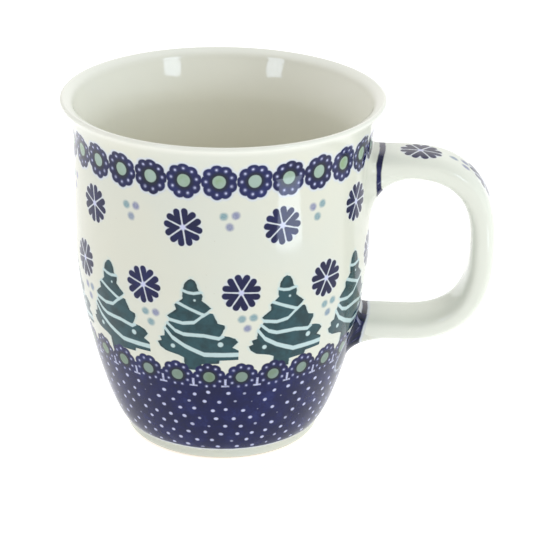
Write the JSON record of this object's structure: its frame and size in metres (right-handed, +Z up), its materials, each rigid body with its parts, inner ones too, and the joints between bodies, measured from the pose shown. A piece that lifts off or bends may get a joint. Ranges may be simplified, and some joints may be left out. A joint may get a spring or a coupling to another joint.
{
  "type": "handled mug",
  "caption": "Stoneware drinking mug with a bellied lower wall, small turned foot, flared rim and a strap handle, decorated with stamped folk motifs under a clear glaze.",
  "frame": {"origin": "on the resting plane, under the centre of the overall box; the mug's own axis stands 16 mm from it towards -X", "axes": "+Z up along the mug's axis, +X towards the handle, +Y across the handle"},
  "size_m": [0.122, 0.09, 0.0994],
  "materials": {
    "glazed_body": "warm white stoneware under glossy clear glaze, with a cobalt blue band, stamped flowers, snowflakes and grey-green fir trees; bare clay on the standing ring",
    "glazed_handle": "warm white stoneware under glossy clear glaze, with a cobalt snowflake and a few dots on the top of the strap",
    "upper_joint_slip": "smoothed slip under the same clear glaze, outlined with a thin cobalt blue brush line",
    "lower_joint_slip": "smoothed slip painted with a cobalt blue daub under the same clear glaze"
  },
  "bodies": {
    "root": {"mug_body": "glazed_body", "handle": "glazed_handle", "upper_handle_joint": "upper_joint_slip", "lower_handle_joint": "lower_joint_slip"}
  },
  "joints": []
}
